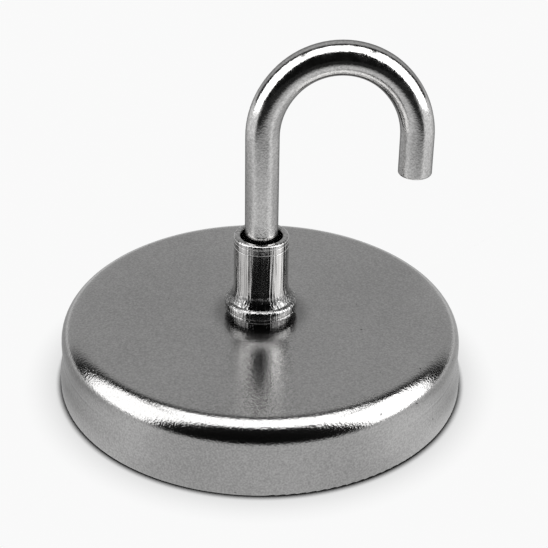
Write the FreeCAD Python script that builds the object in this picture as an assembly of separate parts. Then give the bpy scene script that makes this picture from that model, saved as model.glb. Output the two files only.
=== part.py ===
import FreeCAD, Part
import math
import os

# Pot magnet with a swivelling hook.
# Millimetres. The origin is the centre of the magnet's working face, +Z runs up
# the hook's shank, and the hook opens towards +X.

# ---------------------------------------------------------------- steel cup
CUP_SKIRT_RADIUS = 33.35      # lower part of the wall, at the working face
CUP_WALL_RADIUS = 32.85       # upper part of the wall, slightly drawn in
CUP_BORE_RADIUS = 31.10       # inside of the wall
CUP_HEIGHT = 12.00
CUP_FLOOR_THICKNESS = 1.80    # the flat plate that the hub is riveted through
CUP_SHOULDER_ROUND = 3.85     # outside round between the plate and the wall
CUP_INNER_ROUND = 2.00
CUP_HOLE_RADIUS = 4.65
SKIRT_TOP = 1.80              # the wall starts to draw in above this height
SKIRT_BLEND_TOP = 5.80        # and reaches its upper radius here
DRAW_LINE_HEIGHT = 6.40       # faint line that the drawing die left round the wall
DRAW_LINE_HALF_WIDTH = 0.40
DRAW_LINE_DEPTH = 0.05
RIM_OUTER_ROUND = 0.40
RIM_INNER_ROUND = 0.30

# ------------------------------------------------------ magnet and fillings
MAGNET_RADIUS = 30.00
MAGNET_HOLE_RADIUS = 12.00
MAGNET_RECESS = 0.30          # the ferrite face sits this far inside the rim
MAGNET_CHAMFER = 0.50
BOND_THICKNESS = 0.25
BOND_MARGIN = 0.50            # the film stops short of the magnet's hole edge
BOND_OUTER_RADIUS = 29.00
POTTING_RECESS = 0.55
POTTING_TOP = 7.90

# -------------------------------------------------------------- swivel hub
HUB_TOP = 26.40
HUB_BARREL_RADIUS = 4.45
HUB_FOOT_RADIUS = 5.95
HUB_FLARE_ANGLE = 30.0        # lean of the flare from vertical where it meets the foot
HUB_FOOT_TOP = 15.05
HUB_FOOT_ROUND = 0.75         # round over the foot's top edge
HUB_FOOT_LINE = 13.60         # turned line round the foot
HUB_FOOT_LINE_HALF_WIDTH = 0.16
HUB_FOOT_LINE_DEPTH = 0.06
HUB_FOOT_BOTTOM = 12.95       # the foot stands clear of the cup on a narrower seat
HUB_FOOT_UNDER_ROUND = 0.25
HUB_SEAT_RADIUS = 5.10
HUB_LIP_OUTER_ROUND = 0.40
HUB_LIP_INNER_ROUND = 0.30
HUB_MOUTH_RADIUS = 3.40       # wide mouth round the shank
HUB_MOUTH_BOTTOM = 22.40
HUB_TURNED_LINES = (25.65, 24.70)
TURNED_LINE_HALF_WIDTH = 0.14
TURNED_LINE_DEPTH = 0.04
SWIVEL_CLEARANCE = 0.08       # radial, between the shank and the hub's neck
HEAD_POCKET_RADIUS = 3.90     # room for the shank's head, open to the rivet end
HEAD_POCKET_TOP = 14.85
NECK_CHAMFER = 0.30
RIVET_RADIUS = 4.60           # tenon through the cup and the washer
RIVET_ROLL_RADIUS = 6.10
RIVET_ROLL_THICKNESS = 0.80
RIVET_BELL_RADIUS = 1.10      # inner round of the rolled-over end

# ------------------------------------------------------ washer and hub plug
WASHER_RADIUS = 9.50
WASHER_THICKNESS = 1.00
WASHER_HOLE_RADIUS = 4.65
WASHER_EDGE_ROUND = 0.20
PLUG_BOTTOM = 10.75
PLUG_TOP = 12.45
PLUG_CHAMFER = 0.25

# -------------------------------------------------------------------- hook
WIRE_RADIUS = 2.67
SHANK_TOP = 43.50             # end of the shank's straight part
SHOULDER_BEND_RADIUS = 13.60  # wire centreline, the first and last 45 degrees
CROWN_BEND_RADIUS = 11.30     # wire centreline, the 90 degrees between them
SHOULDER_BEND_DEGREES = 45.0
CROWN_BEND_DEGREES = 90.0
TIP_HEIGHT = 37.15            # the cut end of the short leg
TIP_ROUND = 0.35
HEAD_RADIUS = 3.70            # upset head that holds the shank in the hub
HEAD_THICKNESS = 2.00
HEAD_ROUND = 0.40
HEAD_REST_GAP = 0.05          # between the head and the plug below it

CUP_CEILING = CUP_HEIGHT - CUP_FLOOR_THICKNESS
WASHER_FACE = CUP_CEILING - WASHER_THICKNESS
MAGNET_BACK = CUP_CEILING - BOND_THICKNESS
ORIGIN = FreeCAD.Vector(0, 0, 0)
UP = FreeCAD.Vector(0, 0, 1)
ACROSS = FreeCAD.Vector(0, 1, 0)


class Outline:
    """Half section of a turned piece, drawn through (radius, height) points."""

    def __init__(self, radius, height):
        self.first = FreeCAD.Vector(radius, 0, height)
        self.last = self.first
        self.edges = []

    def line(self, radius, height):
        point = FreeCAD.Vector(radius, 0, height)
        if point.distanceToPoint(self.last) > 1e-6:
            self.edges.append(Part.makeLine(self.last, point))
        self.last = point
        return self

    def arc(self, centre, radius, start, end):
        """Joins on, then turns about a centre; 0 degrees is outward and 90 is up."""
        points = [
            (centre[0] + radius * math.cos(math.radians(angle)),
             centre[1] + radius * math.sin(math.radians(angle)))
            for angle in (start, (start + end) / 2, end)
        ]
        self.line(*points[0])
        middle, finish = [FreeCAD.Vector(r, 0, z) for r, z in points[1:]]
        self.edges.append(Part.Arc(self.last, middle, finish).toShape())
        self.last = finish
        return self

    def groove(self, height, half_width, depth):
        """A shallow round-bottomed line across a vertical wall, going down."""
        wall = self.last.x
        self.line(wall, height + half_width)
        bottom = FreeCAD.Vector(wall - depth, 0, height)
        finish = FreeCAD.Vector(wall, 0, height - half_width)
        self.edges.append(Part.Arc(self.last, bottom, finish).toShape())
        self.last = finish
        return self

    def turned(self):
        self.line(self.first.x, self.first.z)
        return Part.Face(Part.Wire(self.edges)).revolve(ORIGIN, UP, 360)


def washer_shape(inner, outer, bottom, top, edge):
    """A flat ring with its outer edges broken by a chamfer."""
    outline = Outline(inner, bottom).line(outer - edge, bottom).line(outer, bottom + edge)
    outline.line(outer, top - edge).line(outer - edge, top).line(inner, top)
    return outline.turned()


def steel_cup():
    """Drawn cup: flat plate, rounded shoulder, and a wall that ends in the rim."""
    shoulder = CUP_WALL_RADIUS - CUP_SHOULDER_ROUND, CUP_HEIGHT - CUP_SHOULDER_ROUND
    inner_corner = CUP_BORE_RADIUS - CUP_INNER_ROUND, CUP_CEILING - CUP_INNER_ROUND
    # The skirt swells out through two equal arcs, tangent to each other.
    swell = (CUP_SKIRT_RADIUS - CUP_WALL_RADIUS) / 2
    rise = (SKIRT_BLEND_TOP - SKIRT_TOP) / 2
    blend = (swell ** 2 + rise ** 2) / (2 * swell)
    sweep = math.degrees(math.asin(rise / blend))
    outline = Outline(CUP_HOLE_RADIUS, CUP_HEIGHT)
    outline.arc(shoulder, CUP_SHOULDER_ROUND, 90, 0)
    outline.groove(DRAW_LINE_HEIGHT, DRAW_LINE_HALF_WIDTH, DRAW_LINE_DEPTH)
    outline.arc((CUP_WALL_RADIUS + blend, SKIRT_BLEND_TOP), blend, 180, 180 + sweep)
    outline.arc((CUP_SKIRT_RADIUS - blend, SKIRT_TOP), blend, sweep, 0)
    outline.arc((CUP_SKIRT_RADIUS - RIM_OUTER_ROUND, RIM_OUTER_ROUND), RIM_OUTER_ROUND, 0, -90)
    outline.arc((CUP_BORE_RADIUS + RIM_INNER_ROUND, RIM_INNER_ROUND), RIM_INNER_ROUND, -90, -180)
    outline.arc(inner_corner, CUP_INNER_ROUND, 0, 90)
    outline.line(CUP_HOLE_RADIUS, CUP_CEILING)
    return outline.turned()


def ring_magnet():
    """Ferrite ring, its four edges chamfered, polarised along the axis."""
    inner, outer, edge = MAGNET_HOLE_RADIUS, MAGNET_RADIUS, MAGNET_CHAMFER
    outline = Outline(inner + edge, MAGNET_RECESS).line(outer - edge, MAGNET_RECESS)
    outline.line(outer, MAGNET_RECESS + edge).line(outer, MAGNET_BACK - edge)
    outline.line(outer - edge, MAGNET_BACK).line(inner + edge, MAGNET_BACK)
    outline.line(inner, MAGNET_BACK - edge).line(inner, MAGNET_RECESS + edge)
    return outline.turned()


def magnet_bond():
    """Adhesive film between the magnet's back and the cup's plate."""
    inner = MAGNET_HOLE_RADIUS + BOND_MARGIN
    return washer_shape(inner, BOND_OUTER_RADIUS, MAGNET_BACK, CUP_CEILING, 0.05)


def rim_potting():
    """Resin cast between the magnet and the cup's wall, dished by shrinkage."""
    outline = Outline(MAGNET_RADIUS, POTTING_TOP).line(CUP_BORE_RADIUS, POTTING_TOP)
    outline.line(CUP_BORE_RADIUS, POTTING_RECESS)
    outline.line((CUP_BORE_RADIUS + MAGNET_RADIUS) / 2, POTTING_RECESS + 0.15)
    outline.line(MAGNET_RADIUS, MAGNET_RECESS + MAGNET_CHAMFER)
    return outline.turned()


def swivel_hub():
    """Flared ferrule, open at the top, riveted through the cup by its hollow tenon."""
    # The flare leaves the barrel as a tangent and ends at the inside of the foot's round.
    flare_reach = HUB_FOOT_RADIUS - HUB_FOOT_ROUND - HUB_BARREL_RADIUS
    flare = flare_reach / (1 - math.cos(math.radians(HUB_FLARE_ANGLE)))
    flare_top = HUB_FOOT_TOP + flare * math.sin(math.radians(HUB_FLARE_ANGLE))
    neck = WIRE_RADIUS + SWIVEL_CLEARANCE
    roll = RIVET_ROLL_THICKNESS / 2
    bell_height = WASHER_FACE - RIVET_ROLL_THICKNESS + RIVET_BELL_RADIUS

    outline = Outline(HUB_MOUTH_RADIUS + HUB_LIP_INNER_ROUND, HUB_TOP)
    outline.arc((HUB_BARREL_RADIUS - HUB_LIP_OUTER_ROUND, HUB_TOP - HUB_LIP_OUTER_ROUND),
                HUB_LIP_OUTER_ROUND, 90, 0)
    for height in HUB_TURNED_LINES:
        outline.groove(height, TURNED_LINE_HALF_WIDTH, TURNED_LINE_DEPTH)
    outline.arc((HUB_BARREL_RADIUS + flare, flare_top), flare, 180, 180 + HUB_FLARE_ANGLE)
    outline.arc((HUB_FOOT_RADIUS - HUB_FOOT_ROUND, HUB_FOOT_TOP - HUB_FOOT_ROUND),
                HUB_FOOT_ROUND, 90, 0)
    outline.groove(HUB_FOOT_LINE, HUB_FOOT_LINE_HALF_WIDTH, HUB_FOOT_LINE_DEPTH)
    outline.arc((HUB_FOOT_RADIUS - HUB_FOOT_UNDER_ROUND, HUB_FOOT_BOTTOM + HUB_FOOT_UNDER_ROUND),
                HUB_FOOT_UNDER_ROUND, 0, -90)
    outline.line(HUB_SEAT_RADIUS, HUB_FOOT_BOTTOM).line(HUB_SEAT_RADIUS, CUP_HEIGHT)
    # Tenon, rolled over outwards against the washer.
    outline.line(RIVET_RADIUS, CUP_HEIGHT).line(RIVET_RADIUS, WASHER_FACE)
    outline.arc((RIVET_ROLL_RADIUS, WASHER_FACE - roll), roll, 90, -90)
    outline.arc((HEAD_POCKET_RADIUS + RIVET_BELL_RADIUS, bell_height), RIVET_BELL_RADIUS, -90, -180)
    # Pocket for the shank's head, then the neck that the shank turns in.
    outline.line(HEAD_POCKET_RADIUS, HEAD_POCKET_TOP)
    outline.line(neck + NECK_CHAMFER, HEAD_POCKET_TOP).line(neck, HEAD_POCKET_TOP + NECK_CHAMFER)
    outline.line(neck, HUB_MOUTH_BOTTOM - (HUB_MOUTH_RADIUS - neck))
    outline.line(HUB_MOUTH_RADIUS, HUB_MOUTH_BOTTOM)
    outline.arc((HUB_MOUTH_RADIUS + HUB_LIP_INNER_ROUND, HUB_TOP - HUB_LIP_INNER_ROUND),
                HUB_LIP_INNER_ROUND, 180, 90)
    return outline.turned()


def backing_washer():
    """Steel washer that spreads the rivet's pull over the cup's plate."""
    return washer_shape(WASHER_HOLE_RADIUS, WASHER_RADIUS, WASHER_FACE, CUP_CEILING, WASHER_EDGE_ROUND)


def hub_plug():
    """Disc pressed into the rivet's bore, closing the pocket under the shank's head."""
    outline = Outline(0, PLUG_BOTTOM).line(HEAD_POCKET_RADIUS - PLUG_CHAMFER, PLUG_BOTTOM)
    outline.line(HEAD_POCKET_RADIUS, PLUG_BOTTOM + PLUG_CHAMFER).line(HEAD_POCKET_RADIUS, PLUG_TOP)
    outline.line(0, PLUG_TOP)
    return outline.turned()


def wire_bend(start, lean, centre, degrees):
    """A round-wire bend about a centre in the hook's plane, turning towards +X."""
    along = FreeCAD.Vector(math.sin(math.radians(lean)), 0, math.cos(math.radians(lean)))
    section = Part.Face(Part.Wire(Part.makeCircle(WIRE_RADIUS, start, along)))
    return section.revolve(centre, ACROSS, degrees)


def hook():
    """One bent round wire: headed shank, three bends, and a short cut-off leg."""
    head_bottom = PLUG_TOP + HEAD_REST_GAP
    head_top = head_bottom + HEAD_THICKNESS
    edge = HEAD_RADIUS - HEAD_ROUND
    shank = Outline(0, head_bottom).arc((edge, head_bottom + HEAD_ROUND), HEAD_ROUND, -90, 0)
    shank.arc((edge, head_top - HEAD_ROUND), HEAD_ROUND, 0, 90)
    shank.line(WIRE_RADIUS, head_top).line(WIRE_RADIUS, SHANK_TOP).line(0, SHANK_TOP)

    shoulder = math.radians(SHOULDER_BEND_DEGREES)
    difference = SHOULDER_BEND_RADIUS - CROWN_BEND_RADIUS
    half_span = SHOULDER_BEND_RADIUS - difference * math.cos(shoulder)
    first_centre = FreeCAD.Vector(SHOULDER_BEND_RADIUS, 0, SHANK_TOP)
    crown_centre = FreeCAD.Vector(half_span, 0, SHANK_TOP + difference * math.sin(shoulder))
    last_centre = FreeCAD.Vector(2 * half_span - SHOULDER_BEND_RADIUS, 0, SHANK_TOP)
    crown_reach = FreeCAD.Vector(math.cos(shoulder), 0, -math.sin(shoulder)) * CROWN_BEND_RADIUS
    crown_start = crown_centre - crown_reach
    crown_end = crown_centre + FreeCAD.Vector(crown_reach.x, 0, -crown_reach.z)
    bends = [
        wire_bend(FreeCAD.Vector(0, 0, SHANK_TOP), 0, first_centre, SHOULDER_BEND_DEGREES),
        wire_bend(crown_start, SHOULDER_BEND_DEGREES, crown_centre, CROWN_BEND_DEGREES),
        wire_bend(crown_end, SHOULDER_BEND_DEGREES + CROWN_BEND_DEGREES, last_centre,
                  SHOULDER_BEND_DEGREES),
    ]
    tip_edge = WIRE_RADIUS - TIP_ROUND
    tip = Outline(0, TIP_HEIGHT).arc((tip_edge, TIP_HEIGHT + TIP_ROUND), TIP_ROUND, -90, 0)
    tip = tip.line(WIRE_RADIUS, SHANK_TOP).line(0, SHANK_TOP).turned()
    tip.translate(FreeCAD.Vector(2 * half_span, 0, 0))
    return shank.turned().multiFuse(bends + [tip]).removeSplitter()


NODES = {
    "steel_cup": steel_cup,
    "ring_magnet": ring_magnet,
    "magnet_bond": magnet_bond,
    "rim_potting": rim_potting,
    "swivel_hub": swivel_hub,
    "backing_washer": backing_washer,
    "hub_plug": hub_plug,
    "hook": hook,
}

os.makedirs("parts", exist_ok=True)
for name, make in NODES.items():
    solid = make()
    solid.exportStep("parts/" + name + ".step")
    box = solid.optimalBoundingBox()
    print(f"{name:16s} valid {solid.isValid()} solids {len(solid.Solids)} volume {solid.Volume:9.2f}"
          f"  z {box.ZMin:6.2f} to {box.ZMax:6.2f}  x {box.XMin:6.2f} to {box.XMax:6.2f}")
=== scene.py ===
import math

import bpy
from mathutils import Matrix, Vector


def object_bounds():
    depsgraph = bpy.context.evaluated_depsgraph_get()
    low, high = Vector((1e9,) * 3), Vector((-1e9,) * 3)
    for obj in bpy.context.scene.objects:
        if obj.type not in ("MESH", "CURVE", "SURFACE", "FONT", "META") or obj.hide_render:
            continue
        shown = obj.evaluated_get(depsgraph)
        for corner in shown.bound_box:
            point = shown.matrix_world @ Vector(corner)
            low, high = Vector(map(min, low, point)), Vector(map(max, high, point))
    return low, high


MM = 0.001

# ------------------------------------------------------------------ camera
# The camera stands a little left of the hook's plane and looks down at the magnet.
CAMERA_PLACE = Vector((-5.9, -198.6, 134.6)) * MM
CAMERA_TARGET = Vector((2.1, 0.0, 19.0)) * MM
CAMERA_ROLL = math.radians(0.87)
CAMERA_LENS = 92.8
CAMERA_SENSOR = 36.0
CAMERA_NEAREST = 0.005

# ------------------------------------------------------------------ studio
# Azimuths are turned away from the camera's side, positive to its right. A bearing on the
# floor is -1 straight in front of the magnet, 0 at its sides and 1 straight behind, and
# a side is -1 at its left and 1 at its right.
LAMP_DISTANCE = 0.5
WORLD_BACK_GREY = 0.49
WORLD_DARK = 0.005
WORLD_BACK_EDGE = (0.42, 0.66)
SEEN_WHITE = 0.95                         # of the floor and the surround, to the camera itself
FLOOR_HALF_SIZE = 3.0
# How the plating sees the floor: pale close in, palest at the sides, less so at the left,
# and dark far in front.
FLOOR_GLOW_FRONT = 0.66
FLOOR_GLOW_SIDE = 0.84
FLOOR_GLOW_BACK = 0.52
FLOOR_LEFT_SHADE = 0.78
FLOOR_FRONT_BEARING = (-0.88, -0.65)
FLOOR_BACK_BEARING = (-0.55, -0.15)
FLOOR_LEFT_SIDE = (-0.95, -0.6)
FLOOR_FAR_DARK = 0.02
FLOOR_FAR_BEARING = (-0.75, -0.50)
FLOOR_FAR_REACH = (54 * MM, 150 * MM)
# How the camera sees it: white, with a tight soft shadow and a dark line of contact.
FLOOR_SHADOW_REACH = 6.5 * MM
FLOOR_SHADOW = 0.44
CONTACT_REACH = 1.6 * MM
CONTACT_DARK = 0.02
CONTACT_OPENNESS = (0.5, 0.85)
OPENNESS_SAMPLES = 16

# ------------------------------------------------------------------ places on the model
PLATE_EDGE = (11.6 * MM, 11.95 * MM)      # heights between the shoulder and the flat plate
PLATE_SHADE_RADIUS = (9.6 * MM, 6.0 * MM)       # painted shade: a darker ring on the plate round the hub's foot
FLARE_HEIGHT = (18.2 * MM, 15.6 * MM)     # where the hub's barrel runs out into its flare
BEAD_HEIGHT = (14.9 * MM, 15.2 * MM)      # where the flare ends on the foot's bead
PLATE_SHADE_RAGGEDNESS = 0.8 * MM
PLATE_SHADE_SHARE = 0.6
FLARE_SHADE_SHARE = 0.8
BEAD_SHADE_SHARE = 0.85                    # painted shade on the bead, as a share of the flare's
TOOL_MARK_PITCH = 0.22 * MM
STEEL_WARMTH = 0.008
# The wire's plating reflects less at a glancing angle, which draws a thin darker rim round it.
WIRE_EDGE = (0.3, 0.3, 0.3, 1.0)
# Where noise, which stays near 0.5, counts as its lowest and highest.
NOISE_WIDE = (0.3, 0.7)
NOISE_MIDDLE = (0.34, 0.66)


def aim(thing, target, roll=0.0):
    """Turns a camera or lamp towards a point, with its top edge up."""
    look = (target - thing.location).to_track_quat("-Z", "Y").to_matrix()
    thing.rotation_euler = (look @ Matrix.Rotation(roll, 3, "Z")).to_euler()


def make_camera():
    data = bpy.data.cameras.new("camera")
    data.lens = CAMERA_LENS
    data.sensor_width = CAMERA_SENSOR
    data.clip_start = CAMERA_NEAREST
    camera = bpy.data.objects.new("camera", data)
    camera.location = CAMERA_PLACE
    aim(camera, CAMERA_TARGET, CAMERA_ROLL)
    bpy.context.scene.collection.objects.link(camera)
    bpy.context.scene.camera = camera


def camera_heading():
    """The camera's bearing, seen from the model, as an angle about +Z from -Y."""
    away = CAMERA_PLACE - CAMERA_TARGET
    return math.atan2(away.x, -away.y)


def direction(azimuth, elevation):
    """A unit vector at an azimuth right of the camera and an elevation, in degrees."""
    turn = camera_heading() + math.radians(azimuth)
    lift = math.radians(elevation)
    flat = math.cos(lift)
    return Vector((math.sin(turn) * flat, -math.cos(turn) * flat, math.sin(lift)))


def softbox(name, azimuth, elevation, size, radiance):
    """A square-on area lamp seen as a white panel in the plating, never by the camera."""
    data = bpy.data.lights.new(name, "AREA")
    data.shape = "RECTANGLE"
    data.size, data.size_y = size
    data.energy = radiance * math.pi * size[0] * size[1]
    lamp = bpy.data.objects.new(name, data)
    lamp.location = CAMERA_TARGET + direction(azimuth, elevation) * LAMP_DISTANCE
    aim(lamp, CAMERA_TARGET)
    lamp.visible_camera = False
    bpy.context.scene.collection.objects.link(lamp)


class Nodes:
    """Short calls for building a node tree."""

    def __init__(self, tree):
        self.tree = tree
        tree.nodes.clear()

    def add(self, kind, **settings):
        node = self.tree.nodes.new(kind)
        for key, value in settings.items():
            setattr(node, key, value)
        return node

    def plug(self, value, socket):
        if isinstance(value, bpy.types.NodeSocket):
            self.tree.links.new(value, socket)
        else:
            socket.default_value = value

    def maths(self, operation, first, second=0.0):
        node = self.add("ShaderNodeMath", operation=operation)
        self.plug(first, node.inputs[0])
        self.plug(second, node.inputs[1])
        return node.outputs[0]

    def ramp(self, value, limits, out_low=0.0, out_high=1.0, smooth=True):
        """Goes from out_low to out_high while value goes from the first limit to the second."""
        kind = "SMOOTHSTEP" if smooth else "LINEAR"
        node = self.add("ShaderNodeMapRange", interpolation_type=kind)
        self.plug(value, node.inputs["Value"])
        self.plug(limits[0], node.inputs["From Min"])
        self.plug(limits[1], node.inputs["From Max"])
        self.plug(out_low, node.inputs["To Min"])
        self.plug(out_high, node.inputs["To Max"])
        return node.outputs["Result"]

    def mix(self, share, low, high):
        """A number that goes from low to high as share goes from 0 to 1."""
        node = self.add("ShaderNodeMix", data_type="FLOAT")
        self.plug(share, node.inputs[0])
        self.plug(low, node.inputs[2])
        self.plug(high, node.inputs[3])
        return node.outputs[0]

    def length(self, vector):
        node = self.add("ShaderNodeVectorMath", operation="LENGTH")
        self.plug(vector, node.inputs[0])
        return node.outputs["Value"]

    def seen_from_camera(self, vector):
        """A vector's parts to the camera's right and away from the camera's side."""
        turn = self.add("ShaderNodeVectorRotate", rotation_type="Z_AXIS")
        self.plug(vector, turn.inputs["Vector"])
        self.plug(-camera_heading(), turn.inputs["Angle"])
        split = self.add("ShaderNodeSeparateXYZ")
        self.plug(turn.outputs[0], split.inputs[0])
        return split.outputs["X"], split.outputs["Y"]

    def openness(self, reach):
        """1 in the open, less where something nearer than reach shades the surface."""
        node = self.add("ShaderNodeAmbientOcclusion", samples=OPENNESS_SAMPLES)
        self.plug(reach, node.inputs["Distance"])
        return node.outputs["AO"]

    def emission(self, strength):
        node = self.add("ShaderNodeEmission")
        self.plug(strength, node.inputs["Strength"])
        return node.outputs[0]


def make_world():
    """Studio surround: grey behind the model, dark elsewhere, and white to the camera itself."""
    world = bpy.data.worlds.new("studio")
    world.use_nodes = True
    bpy.context.scene.world = world
    n = Nodes(world.node_tree)
    place = n.add("ShaderNodeTexCoord")
    # 0 overhead, at the sides and on the camera's side, and 1 behind the model.
    backwards = n.seen_from_camera(place.outputs["Generated"])[1]
    share = n.ramp(backwards, WORLD_BACK_EDGE)
    surround = n.ramp(share, (0.0, 1.0), WORLD_DARK, WORLD_BACK_GREY, smooth=False)
    light = n.add("ShaderNodeLightPath")
    background = n.add("ShaderNodeBackground")
    n.plug((1.0, 1.0, 1.0, 1.0), background.inputs["Color"])
    n.plug(n.mix(light.outputs["Is Camera Ray"], surround, SEEN_WHITE), background.inputs["Strength"])
    output = n.add("ShaderNodeOutputWorld")
    n.plug(background.outputs[0], output.inputs["Surface"])


def make_floor(low):
    """One large pale plane under the model, with the soft shadow of a white light tent."""
    mesh = bpy.data.meshes.new("floor")
    s = FLOOR_HALF_SIZE
    corners = [(-s, -s, low), (s, -s, low), (s, s, low), (-s, s, low)]
    mesh.from_pydata(corners, [], [(0, 1, 2, 3)])
    floor = bpy.data.objects.new("floor", mesh)
    bpy.context.scene.collection.objects.link(floor)
    material = bpy.data.materials.new("floor")
    material.use_nodes = True
    n = Nodes(material.node_tree)
    place = n.add("ShaderNodeTexCoord").outputs["Object"]
    reach = n.length(place)
    rightwards, backwards = n.seen_from_camera(place)
    bearing = n.maths("DIVIDE", backwards, reach)
    behind = n.ramp(bearing, FLOOR_BACK_BEARING, FLOOR_GLOW_SIDE, FLOOR_GLOW_BACK)
    near_glow = n.mix(n.ramp(bearing, FLOOR_FRONT_BEARING), FLOOR_GLOW_FRONT, behind)
    side = n.maths("DIVIDE", rightwards, reach)
    left_shade = n.ramp(side, FLOOR_LEFT_SIDE, FLOOR_LEFT_SHADE, 1.0)
    near_glow = n.maths("MULTIPLY", near_glow, left_shade)
    far_glow = n.ramp(bearing, FLOOR_FAR_BEARING, FLOOR_FAR_DARK, FLOOR_GLOW_SIDE)
    mirrored = n.emission(n.mix(n.ramp(reach, FLOOR_FAR_REACH), near_glow, far_glow))
    shade = n.openness(FLOOR_SHADOW_REACH)
    soft = n.ramp(shade, (0.0, 1.0), FLOOR_SHADOW, SEEN_WHITE, smooth=False)
    line = n.ramp(n.openness(CONTACT_REACH), CONTACT_OPENNESS, CONTACT_DARK, 1.0, smooth=False)
    seen = n.emission(n.maths("MULTIPLY", soft, line))
    path = n.add("ShaderNodeLightPath")
    pick = n.add("ShaderNodeMixShader")
    n.plug(path.outputs["Is Camera Ray"], pick.inputs[0])
    n.plug(mirrored, pick.inputs[1])
    n.plug(seen, pick.inputs[2])
    output = n.add("ShaderNodeOutputMaterial")
    n.plug(pick.outputs[0], output.inputs["Surface"])
    mesh.materials.append(material)


class Surface:
    """A surface built up from procedural detail, in the model's own coordinates."""

    def __init__(self, name, metallic=1.0):
        self.material = bpy.data.materials.new(name)
        self.material.use_nodes = True
        self.nodes = Nodes(self.material.node_tree)
        self.place = self.nodes.add("ShaderNodeTexCoord").outputs["Object"]
        self.metallic = metallic
        self.normal = None

    def noise(self, scale, detail, stretch=(1.0, 1.0, 1.0)):
        n = self.nodes
        spread = n.add("ShaderNodeMapping")
        n.plug(self.place, spread.inputs["Vector"])
        n.plug(stretch, spread.inputs["Scale"])
        noise = n.add("ShaderNodeTexNoise")
        n.plug(spread.outputs[0], noise.inputs["Vector"])
        n.plug(scale, noise.inputs["Scale"])
        n.plug(detail, noise.inputs["Detail"])
        return noise.outputs["Fac"]

    def height(self):
        """Distance above the working face."""
        split = self.nodes.add("ShaderNodeSeparateXYZ")
        self.nodes.plug(self.place, split.inputs[0])
        return split.outputs["Z"]

    def radius(self):
        """Distance from the object's axis."""
        flat = self.nodes.add("ShaderNodeVectorMath", operation="MULTIPLY")
        self.nodes.plug(self.place, flat.inputs[0])
        self.nodes.plug((1.0, 1.0, 0.0), flat.inputs[1])
        return self.nodes.length(flat.outputs[0])

    def bump(self, height, depth, strength=1.0):
        n = self.nodes
        bump = n.add("ShaderNodeBump")
        n.plug(strength, bump.inputs["Strength"])
        n.plug(depth, bump.inputs["Distance"])
        n.plug(height, bump.inputs["Height"])
        if self.normal is not None:
            n.plug(self.normal, bump.inputs["Normal"])
        self.normal = bump.outputs[0]

    def blend(self, share, low, high):
        """A colour that goes from low to high as share goes from 0 to 1."""
        n = self.nodes
        mix = n.add("ShaderNodeMix", data_type="RGBA")
        n.plug(share, mix.inputs["Factor"])
        n.plug(low, mix.inputs[6])
        n.plug(high, mix.inputs[7])
        return mix.outputs[2]

    def finish(self, colour, roughness, edge=None):
        n = self.nodes
        shader = n.add("ShaderNodeBsdfPrincipled")
        n.plug(colour, shader.inputs["Base Color"])
        n.plug(self.metallic, shader.inputs["Metallic"])
        n.plug(roughness, shader.inputs["Roughness"])
        if edge is not None:
            n.plug(edge, shader.inputs["Specular Tint"])
        n.plug(self.normal, shader.inputs["Normal"])
        output = n.add("ShaderNodeOutputMaterial")
        n.plug(shader.outputs[0], output.inputs["Surface"])
        return self.material


def grey(value, warmth=0.0):
    return (value * (1 + warmth), value, value * (1 - warmth), 1.0)


def satin_nickel():
    """Nickel over drawn sheet steel: a tumbled flat plate, a smoother shoulder and wall, a few pits,
    and painted shade round the hub's foot."""
    m = Surface("satin_nickel")
    n = m.nodes
    grain = m.noise(scale=3200.0, detail=2.0)
    peel = m.noise(scale=700.0, detail=2.0)
    clouds = m.noise(scale=60.0, detail=4.0)
    pits = n.ramp(m.noise(scale=900.0, detail=1.0), limits=(0.215, 0.18))
    m.bump(grain, depth=0.030 * MM)
    m.bump(peel, depth=0.030 * MM, strength=0.5)
    m.bump(pits, depth=-0.02 * MM, strength=0.5)
    tone = n.maths("ADD", n.maths("MULTIPLY", grain, 0.75), n.maths("MULTIPLY", clouds, 0.25))
    dark, light, pit_and_shade_grey = grey(0.36, STEEL_WARMTH), grey(0.53, STEEL_WARMTH), grey(0.10)
    metal = m.blend(n.ramp(tone, NOISE_MIDDLE, smooth=False), dark, light)
    # Painted shade: the plate's colour is darkened in a ragged ring round the hub's foot, standing in
    # for the contact shade and the hub's dark reflection there. The same dark grey also colours the
    # pits.
    ragged_radius = n.maths("ADD", m.radius(), n.maths("MULTIPLY", peel, PLATE_SHADE_RAGGEDNESS))
    plate_painted_shade = n.maths("MULTIPLY", n.ramp(ragged_radius, PLATE_SHADE_RADIUS), PLATE_SHADE_SHARE)
    colour = m.blend(n.maths("MAXIMUM", pits, plate_painted_shade), metal, pit_and_shade_grey)
    wall_roughness, plate_roughness = 0.13, 0.17
    plate = n.ramp(m.height(), PLATE_EDGE)
    roughness = n.ramp(plate, (0.0, 1.0), wall_roughness, plate_roughness)
    return m.finish(colour, roughness)


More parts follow.
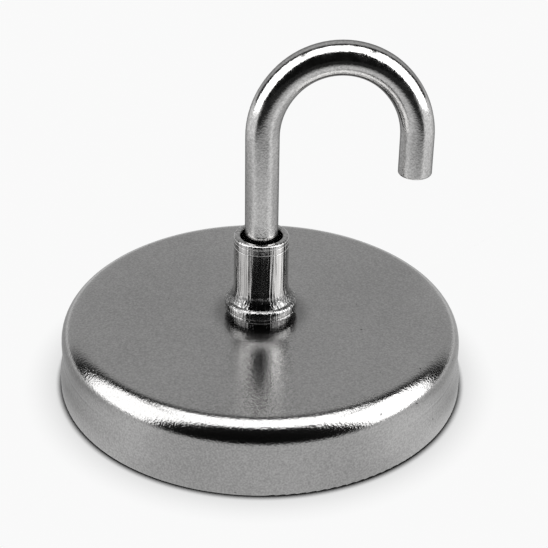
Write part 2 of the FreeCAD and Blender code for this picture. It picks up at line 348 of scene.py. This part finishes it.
def bright_nickel():
    """Bright plate on the turned hub, with fine marks that run down the barrel, and painted shade on
    its flared foot.
    """
    m = Surface("bright_nickel_hub")
    n = m.nodes
    drawn = m.noise(scale=2600.0, detail=2.0, stretch=(1.0, 1.0, 0.03))
    broad = m.noise(scale=1100.0, detail=2.0, stretch=(1.0, 1.0, 0.05))
    specks = m.noise(scale=3000.0, detail=2.0)
    m.bump(drawn, depth=0.14 * MM, strength=0.8)
    m.bump(broad, depth=0.05 * MM, strength=0.4)
    m.bump(specks, depth=0.02 * MM, strength=0.5)
    streaks = n.ramp(drawn, limits=(0.36, 0.64), smooth=False)
    metal = m.blend(streaks, grey(0.34, STEEL_WARMTH), grey(0.62, STEEL_WARMTH))
    # Painted shade: the plating's colour is darkened, broken up by specks, where the barrel runs out
    # into the flared foot and on the foot's bead, standing in for the shade and dark reflections
    # there.
    flare = n.ramp(m.height(), FLARE_HEIGHT)
    run_out = n.maths("MULTIPLY", flare, n.ramp(m.height(), BEAD_HEIGHT, BEAD_SHADE_SHARE, 1.0))
    flare_painted_shade = n.maths("MULTIPLY", run_out, n.ramp(specks, limits=(0.62, 0.44)))
    colour = m.blend(n.maths("MULTIPLY", flare_painted_shade, FLARE_SHADE_SHARE), metal, grey(0.12))
    return m.finish(colour, n.ramp(broad, NOISE_WIDE, out_low=0.08, out_high=0.16))


def wire_nickel():
    """Bright plate over drawn wire, slightly grained."""
    m = Surface("bright_nickel_wire")
    n = m.nodes
    specks = m.noise(scale=3000.0, detail=2.0)
    peel = m.noise(scale=800.0, detail=2.0)
    m.bump(specks, depth=0.025 * MM, strength=0.6)
    m.bump(peel, depth=0.03 * MM, strength=0.4)
    tone = n.ramp(specks, NOISE_MIDDLE, smooth=False)
    colour = m.blend(tone, grey(0.52, STEEL_WARMTH), grey(0.76, STEEL_WARMTH))
    roughness = n.ramp(peel, NOISE_WIDE, out_low=0.10, out_high=0.17)
    return m.finish(colour, roughness, WIRE_EDGE)


def ferrite():
    """Sintered strontium ferrite: near-black, dusty grain, with grinding marks one way."""
    m = Surface("ferrite", metallic=0.0)
    n = m.nodes
    grain = m.noise(scale=2200.0, detail=4.0)
    clouds = m.noise(scale=90.0, detail=3.0)
    ground = m.noise(scale=700.0, detail=2.0, stretch=(0.04, 1.0, 1.0))
    m.bump(grain, depth=0.02 * MM, strength=0.5)
    m.bump(ground, depth=0.01 * MM, strength=0.3)
    tone = n.maths("ADD", n.maths("MULTIPLY", grain, 0.6), n.maths("MULTIPLY", clouds, 0.4))
    colour = m.blend(n.ramp(tone, NOISE_WIDE, smooth=False), grey(0.05), grey(0.13))
    return m.finish(colour, n.ramp(ground, NOISE_WIDE, out_low=0.5, out_high=0.7))


def resin(name, dark, light):
    """Filled epoxy, cast and slightly rippled, with a few pin holes."""
    m = Surface(name, metallic=0.0)
    n = m.nodes
    ripple = m.noise(scale=250.0, detail=2.0)
    pins = m.noise(scale=1600.0, detail=1.0)
    m.bump(ripple, depth=0.05 * MM, strength=0.4)
    m.bump(n.ramp(pins, limits=(0.25, 0.33)), depth=0.03 * MM, strength=0.5)
    colour = m.blend(n.ramp(ripple, NOISE_WIDE, smooth=False), dark, light)
    return m.finish(colour, n.ramp(pins, NOISE_WIDE, out_low=0.28, out_high=0.42))


def raw_steel(name, dark, light, roughness):
    """Pressed steel with concentric tool marks and faint staining."""
    m = Surface(name)
    n = m.nodes
    rings = n.maths("SINE", n.maths("MULTIPLY", m.radius(), 2 * math.pi / TOOL_MARK_PITCH))
    grain = m.noise(scale=1200.0, detail=3.0)
    stains = m.noise(scale=180.0, detail=4.0)
    m.bump(rings, depth=0.004 * MM, strength=0.4)
    m.bump(grain, depth=0.015 * MM, strength=0.4)
    colour = m.blend(n.ramp(stains, limits=(0.35, 0.65)), dark, light)
    spread = 0.15 * roughness
    return m.finish(colour, n.ramp(grain, NOISE_WIDE, roughness - spread, roughness + spread))


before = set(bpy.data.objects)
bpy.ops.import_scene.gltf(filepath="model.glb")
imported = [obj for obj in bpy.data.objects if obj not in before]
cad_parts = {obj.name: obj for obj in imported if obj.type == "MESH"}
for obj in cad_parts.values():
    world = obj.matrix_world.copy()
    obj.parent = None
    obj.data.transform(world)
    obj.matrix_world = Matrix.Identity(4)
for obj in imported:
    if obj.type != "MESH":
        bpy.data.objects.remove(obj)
cad_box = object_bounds()
make_camera()
make_world()
make_floor(cad_box[0].z)
softbox("overhead", azimuth=0, elevation=84, size=(0.555, 0.364), radiance=2.6)
softbox("left_panel", azimuth=-78, elevation=29, size=(0.44, 0.56), radiance=2.3)
softbox("right_panel", azimuth=78, elevation=29, size=(0.44, 0.56), radiance=2.9)

SURFACES = {
    "steel_cup": satin_nickel(),
    "ring_magnet": ferrite(),
    "magnet_bond": resin("bond_film", grey(0.10, 0.10), grey(0.16, 0.10)),
    "rim_potting": resin("potting", grey(0.04), grey(0.075)),
    "swivel_hub": bright_nickel(),
    "backing_washer": raw_steel("washer_steel", grey(0.34, 0.03), grey(0.46, 0.02), 0.28),
    "hub_plug": raw_steel("plug_steel", grey(0.30, 0.03), grey(0.42, 0.02), 0.33),
    "hook": wire_nickel(),
}
for name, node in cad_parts.items():
    node.data.materials.clear()
    node.data.materials.append(SURFACES[name])

bpy.context.scene.view_settings.view_transform = "Standard"
